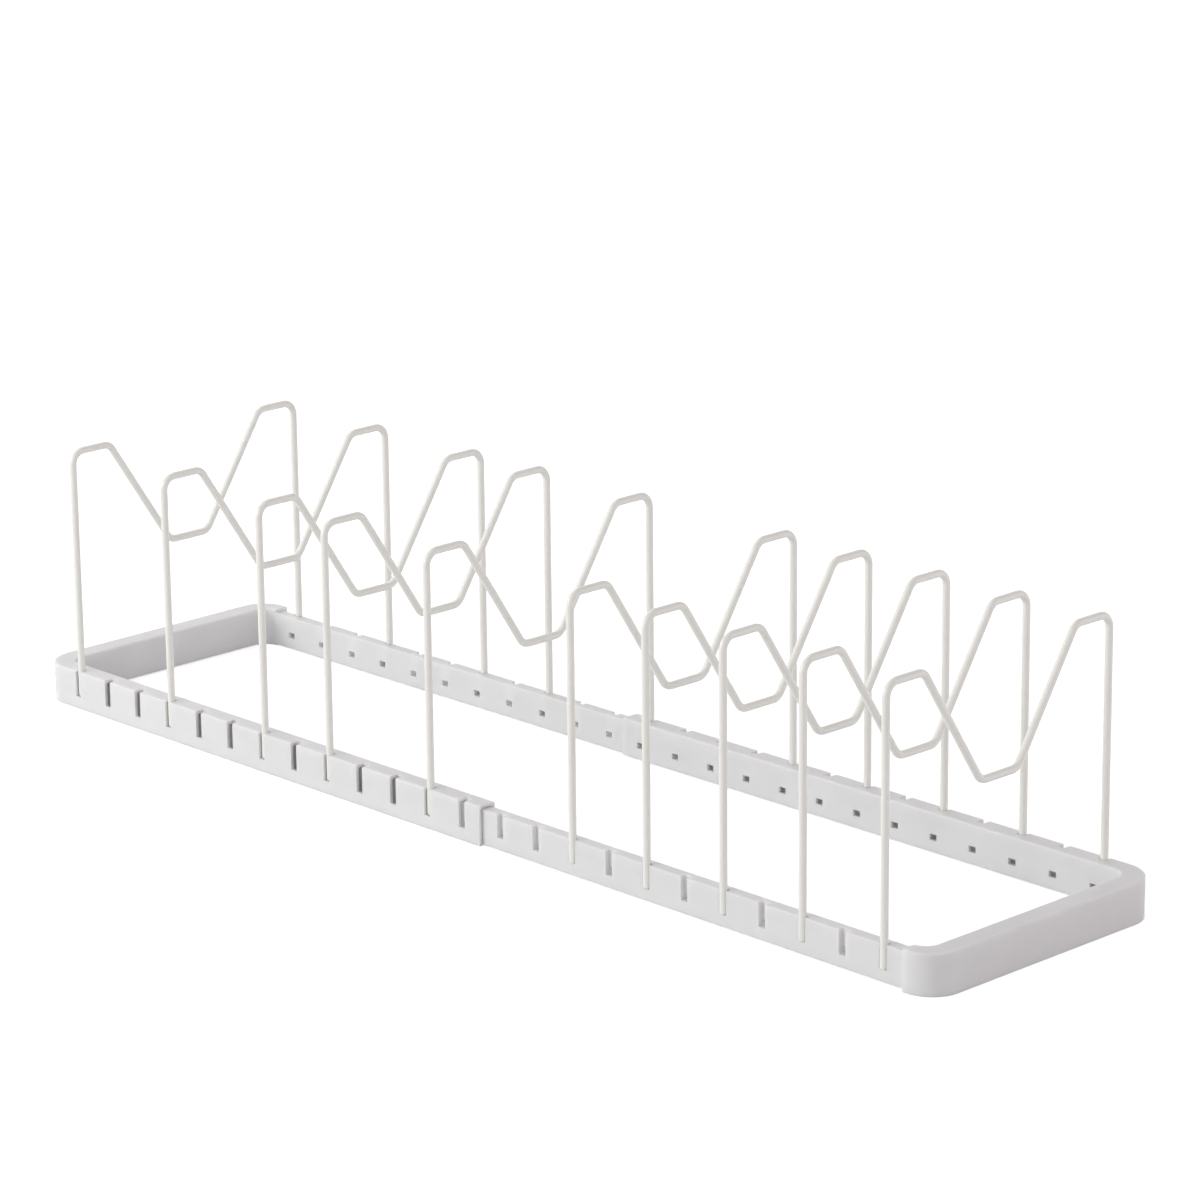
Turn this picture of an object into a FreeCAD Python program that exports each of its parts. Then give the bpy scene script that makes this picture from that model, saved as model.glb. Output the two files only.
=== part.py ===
# Expandable pot lid rack: two equal tray halves that slide into each other, and ten wire dividers
# Each half is a U with a wide rail, a narrow rail and an end bar. The right half is the left one
# turned end for end, so each narrow rail runs inside the other half's wide rail.
# Units are millimetres. X runs along the rack, Y from front to back, Z up.
# The rack stands on z = 0, centred on x = 0 and y = 0.
import math
import os

import FreeCAD, Part
import Sketcher
from FreeCAD import Vector

os.makedirs("parts", exist_ok=True)
doc = FreeCAD.newDocument("pot_lid_rack")

# Driving dimensions, each written once
SIZES = {
    # Slots
    "slot_pitch": 30.0,
    "slot_count": 13,
    "shared_slots": 2,
    "slot_play": 0.3,
    "slot_sill": 7.8,
    # End bar and wide rail of a half
    "rack_depth": 187.0,
    "rail_height": 24.5,
    "rail_width": 12.6,
    "wall": 2.2,
    "top_wall": 2.1,
    "end_margin": 38.5,
    "end_bar": 14.0,
    "rail_overrun": 15.0,
    "wide_corner_radius": 22.0,
    "wide_inner_radius": 10.0,
    "edge_bevel": 0.7,
    "inner_wall_lift": 0.8,
    # Narrow rail of a half
    "slide_gap": 0.3,
    "rail_lift": 0.7,
    "step_overrun": 16.0,
    "narrow_corner_radius": 19.0,
    "narrow_inner_radius": 8.0,
    "socket_wall": 1.6,
    "socket_floor": 1.8,
    "socket_root": 0.5,
    # Windows through the inner walls
    "window_width": 5.4,
    "window_height": 3.8,
    "window_low": 7.8,
    # How far a cut runs past the face that it opens
    "cut_past": 1.0,
    # Wire dividers
    "wire_diameter": 4.6,
    "post_inset": 3.4,
    "crest_height": 167.0,
    "crest_length": 28.9,
    "valley_height": 95.5,
    "valley_width": 29.8,
    "bend_radius": 8.0,
    "tip_bevel": 1.0,
    "tip_gap": 0.1,
}
# Numbers of the slots that hold a divider, counted from each half's end bar, which is number 0
LEFT_SLOT_NUMBERS = [0, 3, 6, 8, 11]
RIGHT_SLOT_NUMBERS = [8, 6, 4, 2, 0]

sheet = doc.addObject("Spreadsheet::Sheet", "sizes")
for row, (alias, number) in enumerate(SIZES.items(), start=1):
    sheet.set("A%d" % row, alias.replace("_", " "))
    sheet.set("B%d" % row, str(number))
    sheet.setAlias("B%d" % row, alias)
doc.recompute()


class Size:
    """A number together with the sheet expression that gives it."""

    def __init__(self, number, text):
        self.number = float(number)
        self.text = text

    def __add__(self, other):
        other = as_size(other)
        return Size(self.number + other.number, "(%s + %s)" % (self.text, other.text))

    def __sub__(self, other):
        other = as_size(other)
        return Size(self.number - other.number, "(%s - %s)" % (self.text, other.text))

    def __mul__(self, other):
        other = as_size(other)
        return Size(self.number * other.number, "(%s * %s)" % (self.text, other.text))

    def __truediv__(self, other):
        other = as_size(other)
        return Size(self.number / other.number, "(%s / %s)" % (self.text, other.text))

    def __neg__(self):
        return Size(-self.number, "(0 - %s)" % self.text)

    def __radd__(self, other):
        return as_size(other) + self


def as_size(value):
    return value if isinstance(value, Size) else Size(value, repr(float(value)))


def size(alias):
    return Size(SIZES[alias], "sizes.%s" % alias)


# Positions that follow from the driving dimensions, in the left half's frame
pitch = size("slot_pitch")
steps = size("slot_count") - 1
shift = size("slot_count") - size("shared_slots")
first_slot = -(pitch * (steps + shift)) / 2
last_slot = first_slot + pitch * steps
bar_out = first_slot - size("end_margin")
bar_in = bar_out + size("end_bar")
rail_end = last_slot + size("rail_overrun")
rail_step = first_slot - size("step_overrun")

wall = size("wall")
past = size("cut_past")
back = size("rack_depth") / 2
rail_inside = back - size("rail_width")
void_far = back - wall
void_near = rail_inside + wall
slide_far = void_far - size("slide_gap")
slide_near = void_near + size("slide_gap")
wide_roof = size("rail_height") - size("top_wall")
slide_top = wide_roof - size("slide_gap")
slide_roof = slide_top - size("top_wall")
wire_radius = size("wire_diameter") / 2
post_y = back - size("post_inset")
slot_near = post_y - wire_radius - size("slot_play")
half_slot = wire_radius + size("slot_play")
half_window = size("window_width") / 2
half_socket = half_slot + size("socket_wall")
wire_foot = size("slot_sill") + size("tip_gap")
crest = size("crest_height")
valley = size("valley_height")


def bind(item, path, value):
    item.setExpression(path, as_size(value).text)


def new_body(label):
    body = doc.addObject("PartDesign::Body", label)
    body.Label = label
    return body


def origin_feature(body, role):
    return next(f for f in body.Origin.OriginFeatures if f.Role == role)


def new_sketch(body, name, role="XY_Plane", height=None):
    sketch = body.newObject("Sketcher::SketchObject", name)
    sketch.AttachmentSupport = [(origin_feature(body, role), "")]
    sketch.MapMode = "FlatFace"
    if height is not None:
        bind(sketch, "AttachmentOffset.Base.z", height)
    return sketch


def fix(sketch, kind, line, end, value, tag):
    """Hold one coordinate of a line's end at a bound distance from the origin."""
    index = sketch.addConstraint(Sketcher.Constraint(kind, -1, 1, line, end, value.number))
    sketch.renameConstraint(index, tag)
    bind(sketch, "Constraints.%s" % tag, value)


def outline(sketch, tag, corners):
    """Draw a closed outline of level and upright lines, with rounded corners.

    Each corner is (x, y, radius), where radius None is a sharp corner.
    """
    count = len(corners)
    points = [Vector(as_size(x).number, as_size(y).number, 0) for x, y, _ in corners]
    radii = [0.0 if r is None else r.number for _, _, r in corners]
    lines = []
    for i in range(count):
        a, b = points[i], points[(i + 1) % count]
        along = (b - a).normalize()
        start = a + along * radii[i]
        finish = b - along * radii[(i + 1) % count]
        lines.append(sketch.addGeometry(Part.LineSegment(start, finish), False))
        level = abs(along.x) > abs(along.y)
        sketch.addConstraint(Sketcher.Constraint("Horizontal" if level else "Vertical", lines[i]))
        name = "%s_%d" % (tag, i)
        if level:
            fix(sketch, "DistanceY", lines[i], 1, as_size(corners[i][1]), name)
        else:
            fix(sketch, "DistanceX", lines[i], 1, as_size(corners[i][0]), name)
    for i in range(count):
        before, after = lines[i - 1], lines[i]
        if corners[i][2] is None:
            sketch.addConstraint(Sketcher.Constraint("Coincident", before, 2, after, 1))
            continue
        arc_corner(sketch, "%s_round_%d" % (tag, i), before, after, points[i], corners[i][2])


def arc_corner(sketch, tag, before, after, corner, radius):
    """Join two lines with a tangent arc of a bound radius at their corner."""
    inward = (sketch.Geometry[before].EndPoint - sketch.Geometry[before].StartPoint).normalize()
    outward = (sketch.Geometry[after].EndPoint - sketch.Geometry[after].StartPoint).normalize()
    half_turn = inward.getAngle(outward) / 2
    bisector = (outward - inward).normalize()
    centre = corner + bisector * (radius.number / math.cos(half_turn))
    start = sketch.Geometry[before].EndPoint - centre
    finish = sketch.Geometry[after].StartPoint - centre
    leftward = inward.cross(outward).z > 0
    first, second = (1, 2) if leftward else (2, 1)
    low, high = (start, finish) if leftward else (finish, start)
    circle = Part.Circle(centre, Vector(0, 0, 1), radius.number)
    turn = Part.ArcOfCircle(circle, math.atan2(low.y, low.x), math.atan2(high.y, high.x))
    arc = sketch.addGeometry(turn, False)
    sketch.addConstraint(Sketcher.Constraint("Tangent", before, 2, arc, first))
    sketch.addConstraint(Sketcher.Constraint("Tangent", arc, second, after, 1))
    index = sketch.addConstraint(Sketcher.Constraint("Radius", arc, radius.number))
    sketch.renameConstraint(index, tag)
    bind(sketch, "Constraints.%s" % tag, radius)


def box_outline(sketch, tag, x0, x1, y0, y1):
    outline(sketch, tag, [(x0, y0, None), (x1, y0, None), (x1, y1, None), (x0, y1, None)])


def raise_up(body, kind, name, sketch, height):
    """Pad or pocket a sketch upwards by a bound height."""
    feature = body.newObject("PartDesign::%s" % kind, name)
    feature.Profile = sketch
    feature.Type = 0
    feature.Reversed = kind == "Pocket"
    bind(feature, "Length", height)
    sketch.Visibility = False
    doc.recompute()
    return feature


def repeat_along_rail(body, name, feature):
    pattern = body.newObject("PartDesign::LinearPattern", name)
    pattern.Originals = [feature]
    pattern.Direction = (origin_feature(body, "X_Axis"), [""])
    bind(pattern, "Length", pitch * steps)
    bind(pattern, "Occurrences", size("slot_count"))
    body.Tip = pattern
    doc.recompute()
    return pattern


def bevel_edges(body, base, name, width, wanted):
    """Chamfer the edges of a feature that pass a test."""
    edges = base.Shape.Edges
    names = ["Edge%d" % (i + 1) for i, edge in enumerate(edges) if wanted(edge)]
    bevel = body.newObject("PartDesign::Chamfer", name)
    bevel.Base = (base, names)
    bind(bevel, "Size", width)
    body.Tip = bevel
    doc.recompute()
    return bevel


def near(a, b):
    return abs(a - b) < 1e-4


def lies_flat(edge, height):
    box = edge.BoundBox
    return near(box.ZMin, height.number) and near(box.ZMax, height.number)


def at_cut_end(edge):
    """Tell whether an edge closes off the wide rail's open end or the narrow rail's step."""
    box = edge.BoundBox
    return near(box.XMin, box.XMax) and (near(box.XMin, rail_end.number) or near(box.XMin, rail_step.number))


def draw_shell(sketch):
    """Draw the outside in plan: wide rail in front, end bar, and the full-height start of the narrow rail."""
    outline(sketch, "shell", [
        (rail_end, -back, None),
        (bar_out, -back, size("wide_corner_radius")),
        (bar_out, back, size("narrow_corner_radius")),
        (rail_step, back, None),
        (rail_step, slide_near, None),
        (bar_in, slide_near, size("narrow_inner_radius")),
        (bar_in, -rail_inside, size("wide_inner_radius")),
        (rail_end, -rail_inside, None),
    ])


def draw_channel(sketch):
    """Draw the hollow under the roof, one wall in from the outside."""
    outline(sketch, "channel", [
        (rail_end + past, -void_far, None),
        (bar_out + wall, -void_far, size("wide_corner_radius") - wall),
        (bar_out + wall, void_far, size("narrow_corner_radius") - wall),
        (rail_step - wall, void_far, None),
        (rail_step - wall, slide_near + wall, None),
        (bar_in - wall, slide_near + wall, size("narrow_inner_radius") - wall),
        (bar_in - wall, -void_near, size("wide_inner_radius") + wall),
        (rail_end + past, -void_near, None),
    ])


def draw_lift(sketch):
    """Draw a strip under the inner wall of the wide rail and the bar, which stops short of the table."""
    stop = slide_near - size("narrow_inner_radius")
    outline(sketch, "lift", [
        (rail_end + past, -(void_near + past), None),
        (bar_in - wall - past, -(void_near + past), size("wide_inner_radius") + wall + past),
        (bar_in - wall - past, stop, None),
        (bar_in + past, stop, None),
        (bar_in + past, -(rail_inside - past), size("wide_inner_radius") - past),
        (rail_end + past, -(rail_inside - past), None),
    ])


def add_narrow_rail(body):
    """Add the rail that runs inside the other half, hollow below and with a socket behind each slot."""
    rail = new_sketch(body, "narrow_rail_sketch", height=size("rail_lift"))
    box_outline(rail, "rail", rail_step - wall, rail_end, slide_near, slide_far)
    raise_up(body, "Pad", "narrow_rail", rail, slide_top - size("rail_lift"))

    hollow = new_sketch(body, "narrow_channel_sketch")
    box_outline(hollow, "hollow", rail_step, rail_end + past, slide_near + wall, slide_far - wall)
    raise_up(body, "Pocket", "narrow_channel", hollow, slide_roof)

    root = size("socket_root")
    low = size("slot_sill") - size("socket_floor")
    socket = new_sketch(body, "socket_sketch", height=low)
    box_outline(socket, "socket", first_slot - half_socket, first_slot + half_socket,
                slide_near + wall - root, slide_far - wall + root)
    block = raise_up(body, "Pad", "socket", socket, slide_roof - low + root)
    repeat_along_rail(body, "sockets", block)


def cut_slots(body):
    """Cut the divider slots through the outer wall and roof of both rails."""
    sketch = new_sketch(body, "slot_sketch", height=size("slot_sill"))
    x0, x1 = first_slot - half_slot, first_slot + half_slot
    box_outline(sketch, "wide", x0, x1, -(back + past), -slot_near)
    box_outline(sketch, "narrow", x0, x1, slot_near, back + past)
    pocket = raise_up(body, "Pocket", "slot", sketch, size("rail_height") - size("slot_sill") + past)
    repeat_along_rail(body, "slots", pocket)


def cut_windows(body):
    """Cut the small windows through the inner wall of both rails."""
    sketch = new_sketch(body, "window_sketch", height=size("window_low"))
    x0, x1 = first_slot - half_window, first_slot + half_window
    box_outline(sketch, "wide", x0, x1, -(void_near + past), -(rail_inside - past))
    box_outline(sketch, "narrow", x0, x1, slide_near - past, slot_near + past)
    pocket = raise_up(body, "Pocket", "window", sketch, size("window_height"))
    repeat_along_rail(body, "windows", pocket)


def build_tray(label, turn):
    """Mould one half, and turn it about the upright axis by an angle in degrees."""
    body = new_body(label)
    shell = new_sketch(body, "shell_sketch")
    draw_shell(shell)
    pad = raise_up(body, "Pad", "shell", shell, size("rail_height"))
    bevel_edges(body, pad, "bevelled_top_edges", size("edge_bevel"),
                lambda edge: lies_flat(edge, size("rail_height")) and not at_cut_end(edge))

    channel = new_sketch(body, "channel_sketch")
    draw_channel(channel)
    raise_up(body, "Pocket", "channel", channel, wide_roof)

    lift = new_sketch(body, "lift_sketch")
    draw_lift(lift)
    raise_up(body, "Pocket", "inner_wall_lift", lift, size("inner_wall_lift"))

    add_narrow_rail(body)
    cut_slots(body)
    cut_windows(body)
    body.Placement = FreeCAD.Placement(Vector(0, 0, 0), FreeCAD.Rotation(Vector(0, 0, 1), turn))
    doc.recompute()
    return body


def draw_wire_spine(spine):
    """Draw the centre line of a divider: post, crest, slope, valley, slope, crest, post."""
    crest_end = post_y - size("crest_length")
    valley_end = size("valley_width") / 2
    bend = size("bend_radius")
    half = [(-post_y, wire_foot), (-post_y, crest), (-crest_end, crest), (-valley_end, valley)]
    corners = half + [(-y, z) for y, z in reversed(half)]
    points = [Vector(y.number, z.number, 0) for y, z in corners]
    trims = [0.0]
    for a, b, c in zip(points, points[1:], points[2:]):
        trims.append(bend.number * math.tan((b - a).getAngle(c - b) / 2))
    trims.append(0.0)
    lines = []
    for i, (a, b) in enumerate(zip(points, points[1:])):
        along = (b - a).normalize()
        piece = Part.LineSegment(a + along * trims[i], b - along * trims[i + 1])
        lines.append(spine.addGeometry(piece, False))
    for i in (0, 6):
        spine.addConstraint(Sketcher.Constraint("Vertical", lines[i]))
        fix(spine, "DistanceX", lines[i], 1, corners[i][0], "post_%d" % i)
    for i in (1, 3, 5):
        spine.addConstraint(Sketcher.Constraint("Horizontal", lines[i]))
        fix(spine, "DistanceY", lines[i], 1, corners[i][1], "level_%d" % i)
    fix(spine, "DistanceY", lines[0], 1, wire_foot, "front_foot")
    fix(spine, "DistanceY", lines[6], 2, wire_foot, "back_foot")
    for i in (2, 4):
        for end in (i, i + 1):
            mark = spine.addGeometry(Part.Point(points[end]), True)
            fix(spine, "DistanceX", mark, 1, corners[end][0], "slope_%d_y" % end)
            fix(spine, "DistanceY", mark, 1, corners[end][1], "slope_%d_z" % end)
            spine.addConstraint(Sketcher.Constraint("PointOnObject", mark, 1, lines[i]))
    for i in range(6):
        arc_corner(spine, "bend_%d" % i, lines[i], lines[i + 1], points[i + 1], bend)


def draw_wire_section(section):
    """Draw the wire's section with eight flats, which touch the round wire that they stand for."""
    half_flat = wire_radius * Size(math.sqrt(2) - 1, "(sqrt(2) - 1)")
    near_y, far_y = -post_y - wire_radius, -post_y + wire_radius
    low_y, high_y = -post_y - half_flat, -post_y + half_flat
    corners = [
        (-half_flat, near_y), (half_flat, near_y), (wire_radius, low_y), (wire_radius, high_y),
        (half_flat, far_y), (-half_flat, far_y), (-wire_radius, high_y), (-wire_radius, low_y),
    ]
    points = [Vector(x.number, y.number, 0) for x, y in corners]
    lines = [section.addGeometry(Part.LineSegment(points[i], points[(i + 1) % 8]), False) for i in range(8)]
    for i in range(8):
        section.addConstraint(Sketcher.Constraint("Coincident", lines[i - 1], 2, lines[i], 1))
        fix(section, "DistanceX", lines[i], 1, corners[i][0], "flat_x_%d" % i)
        fix(section, "DistanceY", lines[i], 1, corners[i][1], "flat_y_%d" % i)


def build_divider(label, slot_x):
    """Sweep the wire along its bent centre line and bevel its two tips."""
    body = new_body(label)
    spine = new_sketch(body, "centre_line", "YZ_Plane")
    draw_wire_spine(spine)
    section = new_sketch(body, "wire_section", height=wire_foot)
    draw_wire_section(section)
    doc.recompute()

    wire = body.newObject("PartDesign::AdditivePipe", "bent_wire")
    wire.Profile = section
    wire.Spine = (spine, ["Edge%d" % (i + 1) for i in range(len(spine.Shape.Edges))])
    doc.recompute()
    bevel_edges(body, wire, "bevelled_tips", size("tip_bevel"), lambda edge: lies_flat(edge, wire_foot))
    bind(body, "Placement.Base.x", slot_x)
    doc.recompute()
    return body


bodies = [build_tray("left_tray", 0), build_tray("right_tray", 180)]
divider_places = [first_slot + pitch * i for i in LEFT_SLOT_NUMBERS]
divider_places += [-(first_slot + pitch * i) for i in RIGHT_SLOT_NUMBERS]
for number, place in enumerate(divider_places, start=1):
    bodies.append(build_divider("divider_%02d" % number, place))

doc.recompute()
for item in doc.Objects:
    if "Invalid" in item.State or "Error" in item.State:
        raise RuntimeError("%s did not compute: %s" % (item.Name, item.State))
for body in bodies:
    shape = body.Shape
    if not shape.isValid() or len(shape.Solids) != 1:
        raise RuntimeError("%s is not one valid solid" % body.Label)
    shape.exportStep("parts/%s.step" % body.Label)
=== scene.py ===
"""Looks of a white extending pot lid rack: two slotted plastic trays that carry ten bent wire dividers.

Metres, +Z up, the rack's length along X, its front rail towards -Y, and the table at Z = 0.
"""
import math

import bpy
from mathutils import Matrix, Vector


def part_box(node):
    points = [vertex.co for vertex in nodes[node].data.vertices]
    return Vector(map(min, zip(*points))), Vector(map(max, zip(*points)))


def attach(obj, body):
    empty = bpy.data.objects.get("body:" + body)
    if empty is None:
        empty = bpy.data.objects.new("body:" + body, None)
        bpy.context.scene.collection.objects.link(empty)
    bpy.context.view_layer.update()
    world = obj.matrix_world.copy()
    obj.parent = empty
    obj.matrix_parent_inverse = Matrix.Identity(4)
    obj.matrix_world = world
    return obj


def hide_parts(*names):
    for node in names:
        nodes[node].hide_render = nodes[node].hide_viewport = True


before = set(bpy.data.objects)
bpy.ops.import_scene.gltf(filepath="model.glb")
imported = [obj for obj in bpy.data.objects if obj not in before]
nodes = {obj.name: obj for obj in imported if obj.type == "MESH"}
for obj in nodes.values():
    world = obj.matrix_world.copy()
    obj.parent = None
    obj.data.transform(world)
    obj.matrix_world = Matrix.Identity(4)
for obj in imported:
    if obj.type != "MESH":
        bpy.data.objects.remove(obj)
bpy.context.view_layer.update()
scene = bpy.context.scene

TRAYS = ("left_tray", "right_tray")
DIVIDERS = tuple(sorted(name for name in nodes if name.startswith("divider_")))

WHITE = (1.0, 1.0, 1.0)

# Camera: where the photograph was taken from, for a square picture.
CAMERA_PLACE = Vector((1.94310, -1.82806, 0.90852))
CAMERA_AZIMUTH = math.radians(46.2216)
CAMERA_ELEVATION = math.radians(16.4175)
CAMERA_ROLL = math.radians(-0.6015)
CAMERA_LENS = 141.71
CAMERA_SENSOR = 36.0
CAMERA_NEAR = 0.05
CAMERA_FAR = 60.0

# Table top: its own colour, and how much brighter it is where it is seen directly.
FLOOR_COLOUR = (0.80, 0.80, 0.80)
FLOOR_ROUGHNESS = 0.5
FLOOR_LIFT = 0.60
FLOOR_HALF = 9.0
FLOOR_DROP = 0.0002

# Light from the surroundings, at the height of the rack and straight above it.
WORLD_LIGHT = 0.79
WORLD_OVERHEAD = 0.29
WORLD_TINT = (1.0, 0.93, 0.955)

# Soft boxes: metres and watts.
LAMPS = (
    {"name": "key", "place": (-1.40, -2.42, 1.20), "target": (0.0, 0.0, 0.05),
     "wide": 1.8, "high": 1.6, "power": 43.0, "colour": (0.955, 1.0, 0.985)},
    {"name": "overhead", "place": (-1.00, 0.25, 1.05), "target": (-0.25, 0.0, 0.05),
     "wide": 0.9, "high": 0.9, "power": 3.0, "colour": WHITE},
    {"name": "front_fill", "place": (1.75, -2.08, 1.27), "target": (0.0, 0.0, 0.05),
     "wide": 1.8, "high": 1.6, "power": 6.5, "colour": WHITE},
    {"name": "right_fill", "place": (1.20, 0.90, 0.45), "target": (0.3, 0.0, 0.05),
     "wide": 0.8, "high": 0.7, "power": 2.0, "colour": (1.0, 0.95, 0.96)},
)

# The range of a noise that a colour or a roughness is spread over.
NOISE_LOW = 0.3
NOISE_HIGH = 0.7

# Centre line of a divider. The rest of its size is read from its CAD node's box.
CREST_LENGTH = 0.0289
VALLEY_HEIGHT = 0.0955
VALLEY_HALF = 0.0149
BEND_RADIUS = 0.008
TIP_ROUND = 0.0012
BEND_STEPS = 12
TIP_STEPS = 4
WIRE_SIDES = 28


def add_camera():
    """A long lens that looks down on the front right corner of the rack."""
    azimuth, elevation, roll = CAMERA_AZIMUTH, CAMERA_ELEVATION, CAMERA_ROLL
    back = Vector((
        math.sin(azimuth) * math.cos(elevation),
        -math.cos(azimuth) * math.cos(elevation),
        math.sin(elevation),
    ))
    level = Vector((math.cos(azimuth), math.sin(azimuth), 0.0))
    upright = back.cross(level)
    right = math.cos(roll) * level + math.sin(roll) * upright
    up = -math.sin(roll) * level + math.cos(roll) * upright
    data = bpy.data.cameras.new("camera")
    data.lens = CAMERA_LENS
    data.sensor_width = CAMERA_SENSOR
    data.sensor_fit = "HORIZONTAL"
    data.clip_start = CAMERA_NEAR
    data.clip_end = CAMERA_FAR
    camera = bpy.data.objects.new("camera", data)
    turn = Matrix((right, up, back)).transposed().to_4x4()
    camera.matrix_world = Matrix.Translation(CAMERA_PLACE) @ turn
    scene.collection.objects.link(camera)
    scene.camera = camera


class Shader:
    """A short way to add and join a material's or the world's nodes."""

    def __init__(self, tree):
        self.tree = tree
        tree.nodes.clear()

    def add(self, kind, values=None, **settings):
        """A new node, with values for its sockets and settings of its own."""
        node = self.tree.nodes.new(kind)
        for key, value in settings.items():
            setattr(node, key, value)
        for key, value in (values or {}).items():
            node.inputs[key].default_value = value
        return node

    def join(self, start, end):
        self.tree.links.new(start, end)

    def noise(self, scale, detail, roughness, stretch=None):
        """Noise in the row frame, so that it stays with the surface."""
        place = self.add("ShaderNodeTexCoord").outputs["Object"]
        if stretch:
            mapping = self.add("ShaderNodeMapping", {"Scale": stretch})
            self.join(place, mapping.inputs["Vector"])
            place = mapping.outputs["Vector"]
        values = {"Scale": scale, "Detail": detail, "Roughness": roughness}
        noise = self.add("ShaderNodeTexNoise", values)
        self.join(place, noise.inputs["Vector"])
        return noise.outputs["Fac"]

    def spread(self, noise, low, high):
        """Map the middle of a noise to a range of numbers."""
        values = {"From Min": NOISE_LOW, "From Max": NOISE_HIGH, "To Min": low, "To Max": high}
        ramp = self.add("ShaderNodeMapRange", values)
        self.join(noise, ramp.inputs["Value"])
        return ramp.outputs["Result"]

    def mix(self, share, low, high):
        """Run from one colour to another."""
        mix = self.add("ShaderNodeMix", data_type="RGBA")
        mix.inputs["A"].default_value = (*low, 1.0)
        mix.inputs["B"].default_value = (*high, 1.0)
        self.join(share, mix.inputs["Factor"])
        return mix.outputs["Result"]

    def tint(self, noise, low, high):
        """Run from one colour to another with the middle of a noise."""
        return self.mix(self.spread(noise, 0.0, 1.0), low, high)

    def bump(self, height, distance, strength, below=None):
        """Raise the surface by a noise, on top of another bump where there is one."""
        bump = self.add("ShaderNodeBump", {"Strength": strength, "Distance": distance})
        self.join(height, bump.inputs["Height"])
        if below:
            self.join(below, bump.inputs["Normal"])
        return bump.outputs["Normal"]

    def seen_directly(self):
        """1 for camera, glossy and transmission rays, and 0 for the rays that light the rack."""
        path = self.add("ShaderNodeLightPath")
        share = path.outputs["Is Camera Ray"]
        for kind in ("Is Glossy Ray", "Is Transmission Ray"):
            larger = self.add("ShaderNodeMath", operation="MAXIMUM")
            self.join(share, larger.inputs[0])
            self.join(path.outputs[kind], larger.inputs[1])
            share = larger.outputs[0]
        return share

    def finish(self, kind, surface):
        """Send a shader to the output of a material or the world."""
        self.join(surface, self.add(kind).inputs["Surface"])


def new_material(name):
    material = bpy.data.materials.new(name)
    material.use_nodes = True
    return material, Shader(material.node_tree)


def tray_plastic():
    """White moulded polypropylene: soft sheen, a fine tool texture, a faint flow along the rails.

    A little light passes through the thin walls, so the slots and the channels aren't black inside.
    """
    material, shader = new_material("tray_plastic")
    surface = shader.add("ShaderNodeBsdfPrincipled", {
        "IOR": 1.49,
        "Specular IOR Level": 0.45,
        "Metallic": 0.0,
        "Subsurface Weight": 0.6,
        "Subsurface Radius": (1.0, 0.92, 0.95),
        "Subsurface Scale": 0.006,
    })
    shader.finish("ShaderNodeOutputMaterial", surface.outputs["BSDF"])
    flow = shader.noise(scale=9.0, detail=3.0, roughness=0.55, stretch=(1.0, 4.0, 6.0))
    tint = shader.tint(flow, low=(0.800, 0.801, 0.803), high=(0.834, 0.834, 0.834))
    shader.join(tint, surface.inputs["Base Color"])
    patches = shader.noise(scale=60.0, detail=3.0, roughness=0.5)
    shader.join(shader.spread(patches, low=0.36, high=0.46), surface.inputs["Roughness"])
    grain = shader.noise(scale=1900.0, detail=2.0, roughness=0.6)
    fine = shader.bump(grain, distance=0.00004, strength=0.35)
    sink = shader.noise(scale=38.0, detail=2.0, roughness=0.5, stretch=(1.0, 1.0, 1.6))
    sunk = shader.bump(sink, distance=0.0006, strength=0.12, below=fine)
    shader.join(sunk, surface.inputs["Normal"])
    return material


def coated_wire():
    """Steel wire dipped in an off-white coating: softly glossy, uneven, creamier than the trays."""
    material, shader = new_material("coated_wire")
    surface = shader.add("ShaderNodeBsdfPrincipled", {
        "IOR": 1.5,
        "Specular IOR Level": 0.5,
        "Metallic": 0.0,
        "Coat Weight": 0.5,
        "Coat IOR": 1.5,
        "Coat Roughness": 0.14,
    })
    shader.finish("ShaderNodeOutputMaterial", surface.outputs["BSDF"])
    cloud = shader.noise(scale=24.0, detail=3.0, roughness=0.5)
    tint = shader.tint(cloud, low=(0.845, 0.850, 0.797), high=(0.875, 0.880, 0.830))
    shader.join(tint, surface.inputs["Base Color"])
    patches = shader.noise(scale=140.0, detail=2.0, roughness=0.5)
    shader.join(shader.spread(patches, low=0.30, high=0.42), surface.inputs["Roughness"])
    peel = shader.noise(scale=520.0, detail=2.0, roughness=0.5)
    fine = shader.bump(peel, distance=0.00008, strength=0.3)
    runs = shader.noise(scale=70.0, detail=2.0, roughness=0.5)
    uneven = shader.bump(runs, distance=0.0005, strength=0.2, below=fine)
    shader.join(uneven, surface.inputs["Normal"])
    return material


def table_top():
    """A white table that looks a little brighter where it is seen directly, and keeps the shadow."""
    material, shader = new_material("table_top")
    values = {"Color": (*FLOOR_COLOUR, 1.0), "Roughness": FLOOR_ROUGHNESS}
    matt = shader.add("ShaderNodeBsdfDiffuse", values)
    lift = shader.add("ShaderNodeMath", {1: FLOOR_LIFT}, operation="MULTIPLY")
    shader.join(shader.seen_directly(), lift.inputs[0])
    glow = shader.add("ShaderNodeEmission", {"Color": (*WHITE, 1.0)})
    shader.join(lift.outputs[0], glow.inputs["Strength"])
    both = shader.add("ShaderNodeAddShader")
    shader.join(matt.outputs["BSDF"], both.inputs[0])
    shader.join(glow.outputs["Emission"], both.inputs[1])
    shader.finish("ShaderNodeOutputMaterial", both.outputs["Shader"])
    return material


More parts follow.
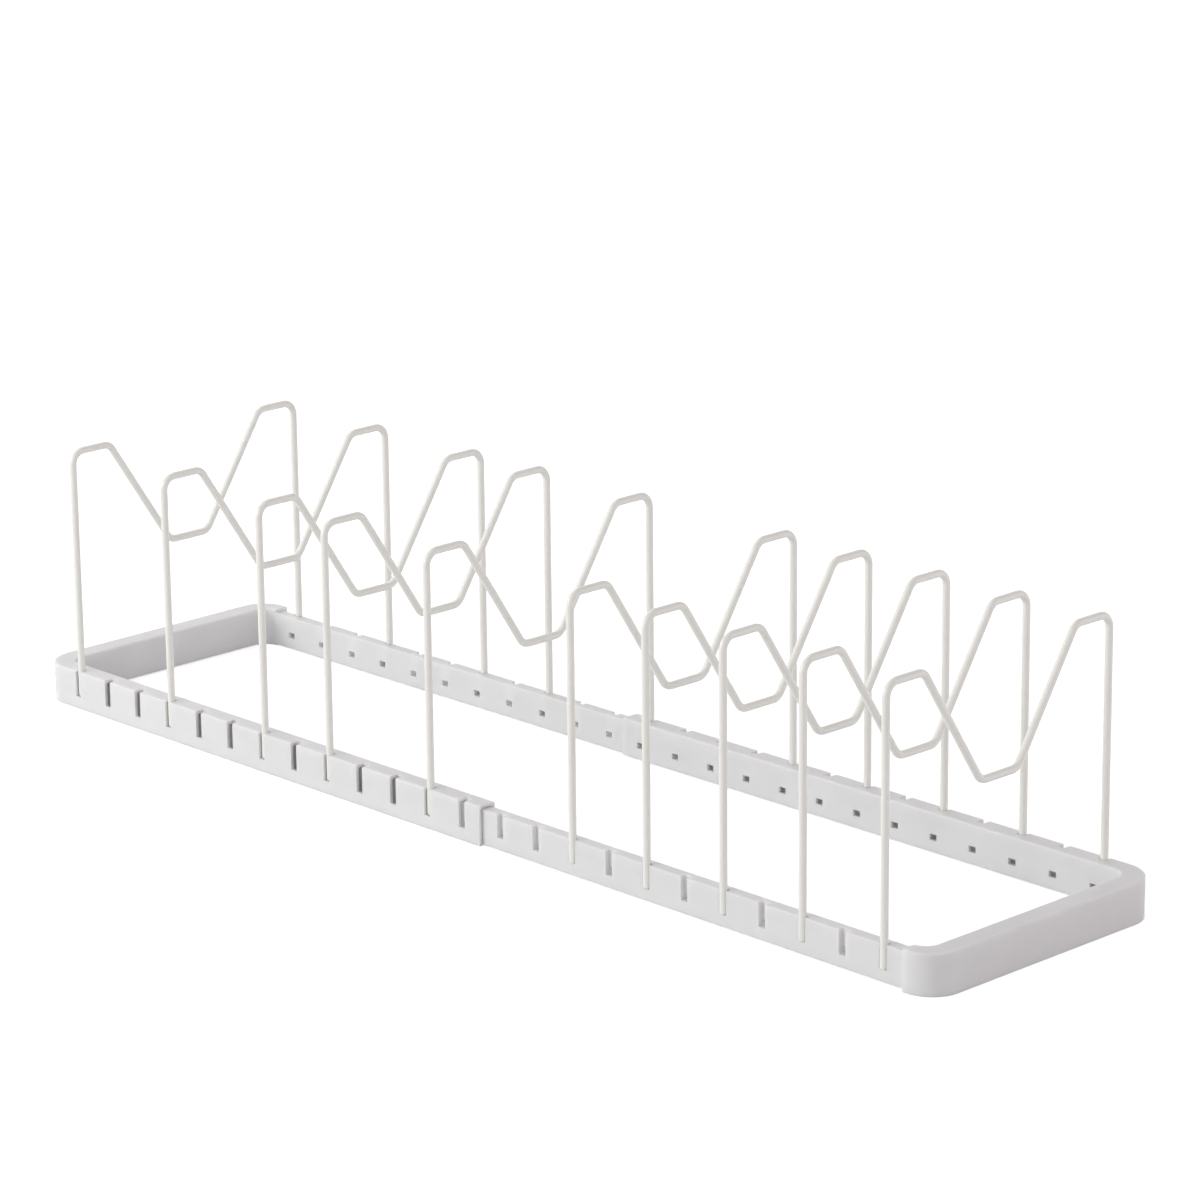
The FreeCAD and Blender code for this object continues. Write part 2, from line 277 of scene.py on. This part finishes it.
def add_floor():
    """A flat white table top that runs past the edges of the picture."""
    h = FLOOR_HALF
    z = -FLOOR_DROP
    mesh = bpy.data.meshes.new("floor")
    mesh.from_pydata([(-h, -h, z), (h, -h, z), (h, h, z), (-h, h, z)], [], [(0, 1, 2, 3)])
    mesh.materials.append(table_top())
    floor = bpy.data.objects.new("floor", mesh)
    scene.collection.objects.link(floor)


def add_world():
    """White surroundings: seen as plain white, while a softer and faintly warm share lights the rack.

    That share is strongest at the height of the rack and weaker overhead, as in a room with bright walls.
    """
    world = bpy.data.worlds.new("world")
    scene.world = world
    world.use_nodes = True
    shader = Shader(world.node_tree)
    seen = shader.seen_directly()
    place = shader.add("ShaderNodeTexCoord")
    parts = shader.add("ShaderNodeSeparateXYZ")
    shader.join(place.outputs["Generated"], parts.inputs["Vector"])
    height = shader.add("ShaderNodeMapRange", {"To Min": WORLD_LIGHT, "To Max": WORLD_OVERHEAD})
    shader.join(parts.outputs["Z"], height.inputs["Value"])
    level = shader.add("ShaderNodeMapRange", {"To Max": 1.0})
    shader.join(seen, level.inputs["Value"])
    shader.join(height.outputs["Result"], level.inputs["To Min"])
    background = shader.add("ShaderNodeBackground")
    shader.join(shader.mix(seen, WORLD_TINT, WHITE), background.inputs["Color"])
    shader.join(level.outputs["Result"], background.inputs["Strength"])
    shader.finish("ShaderNodeOutputWorld", background.outputs["Background"])


def add_lamp(name, place, target, wide, high, power, colour):
    """A soft box that faces a point."""
    data = bpy.data.lights.new(name, "AREA")
    data.shape = "RECTANGLE"
    data.size = wide
    data.size_y = high
    data.energy = power
    data.color = colour
    lamp = bpy.data.objects.new(name, data)
    turn = (Vector(target) - Vector(place)).to_track_quat("-Z", "Y").to_matrix().to_4x4()
    lamp.matrix_world = Matrix.Translation(place) @ turn
    lamp.visible_camera = False
    scene.collection.objects.link(lamp)


def add_lights():
    """A broad key from the front left, a softer lamp above the left end, and two weak fills."""
    for lamp in LAMPS:
        add_lamp(**lamp)


def bend_points(before, corner, after):
    """Points along the arc that rounds a corner of the centre line, with the direction at each."""
    inward = (corner - before).normalized()
    outward = (after - corner).normalized()
    turn = inward.angle_signed(outward)
    trim = BEND_RADIUS * math.tan(abs(turn) / 2)
    side = Vector((inward.y, -inward.x)) * (1.0 if turn > 0 else -1.0)
    start = corner - inward * trim
    centre = start + side * BEND_RADIUS
    points = []
    for step in range(BEND_STEPS + 1):
        spin = Matrix.Rotation(-turn * step / BEND_STEPS, 2)
        points.append((centre + spin @ (start - centre), spin @ inward))
    return points


def centre_line(post_y, foot, crest):
    """The wire's centre line in the plane across the rack, as points with directions."""
    crest_end = post_y - CREST_LENGTH
    half = [(-post_y, foot), (-post_y, crest), (-crest_end, crest), (-VALLEY_HALF, VALLEY_HEIGHT)]
    corners = [Vector(point) for point in half + [(-y, z) for y, z in reversed(half)]]
    path = [(corners[0], (corners[1] - corners[0]).normalized())]
    for before, corner, after in zip(corners, corners[1:], corners[2:]):
        path += bend_points(before, corner, after)
    path.append((corners[-1], (corners[-1] - corners[-2]).normalized()))
    return path


def round_tip(point, way, radius):
    """Rings that round off an end of the wire, from the end's face inwards, as (point, radius, lean).

    The lean is how far the surface has turned from the end's face to the side of the wire.
    """
    rings = []
    for step in range(TIP_STEPS + 1):
        lean = math.pi / 2 * step / TIP_STEPS
        depth = TIP_ROUND * (1.0 - math.cos(lean))
        rings.append((point + way * depth, radius - TIP_ROUND * (1.0 - math.sin(lean)), lean))
    return rings


def wire_rings(path, radius):
    """The rings of a wire from end to end, as (point, direction, radius, endward).

    Endward is the share of the surface's normal that points along the wire.
    """
    start, start_way = path[0]
    end, end_way = path[-1]
    start_tip = round_tip(start, start_way, radius)
    end_tip = round_tip(end, -end_way, radius)
    first = [(place, start_way, size, -math.cos(lean)) for place, size, lean in start_tip]
    last = [(place, end_way, size, math.cos(lean)) for place, size, lean in end_tip]
    return first + [(place, way, radius, 0.0) for place, way in path[1:-1]] + last[::-1]


def ring_points(ring, x):
    """The corners of one ring of the wire, with the surface's normal at each."""
    place, way, size, endward = ring
    centre = Vector((x, place.x, place.y))
    along = Vector((0.0, way.x, way.y))
    across = Vector((0.0, -way.y, way.x))
    points = []
    for side in range(WIRE_SIDES):
        angle = 2 * math.pi * side / WIRE_SIDES
        outward = Vector((math.cos(angle), 0.0, 0.0)) + across * math.sin(angle)
        normal = outward * math.sqrt(1.0 - endward ** 2) + along * endward
        points.append((centre + outward * size, normal))
    return points


def tube_faces(ring_count):
    """The faces of a closed tube of rings, which face outwards."""
    faces = [tuple(range(WIRE_SIDES))]
    for first in range(0, (ring_count - 1) * WIRE_SIDES, WIRE_SIDES):
        for side in range(WIRE_SIDES):
            a = first + side
            b = first + (side + 1) % WIRE_SIDES
            faces.append((a, a + WIRE_SIDES, b + WIRE_SIDES, b))
    corners = ring_count * WIRE_SIDES
    faces.append(tuple(reversed(range(corners - WIRE_SIDES, corners))))
    return faces


def round_wire(name, material):
    """A smooth round wire in place of a divider's eight-sided CAD solid."""
    low, high = (Vector(corner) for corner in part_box(name))
    x = (low.x + high.x) / 2
    radius = (high.x - low.x) / 2
    rings = wire_rings(centre_line(high.y - radius, low.z, high.z - radius), radius)
    points = [point for ring in rings for point in ring_points(ring, x)]
    mesh = bpy.data.meshes.new(name + "_round")
    mesh.from_pydata([place for place, normal in points], [], tube_faces(len(rings)))
    mesh.shade_smooth()
    mesh.normals_split_custom_set_from_vertices([normal for place, normal in points])
    mesh.materials.append(material)
    piece = bpy.data.objects.new(name + "_round", mesh)
    scene.collection.objects.link(piece)
    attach(piece, "root")
    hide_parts(name)


def put_material(piece, material):
    """Fill every material slot of a piece."""
    if not piece.material_slots:
        piece.data.materials.append(material)
    for slot in piece.material_slots:
        slot.material = material


def dress_nodes():
    """Give each tray its own surface, and put a smooth wire in place of each divider."""
    plastic = tray_plastic()
    wire = coated_wire()
    for name in TRAYS:
        put_material(nodes[name], plastic)
    for name in DIVIDERS:
        put_material(nodes[name], wire)
        round_wire(name, wire)


def set_view():
    """Show colours as they are written."""
    scene.view_settings.view_transform = "Standard"


add_camera()
add_floor()
add_world()
add_lights()
dress_nodes()
set_view()
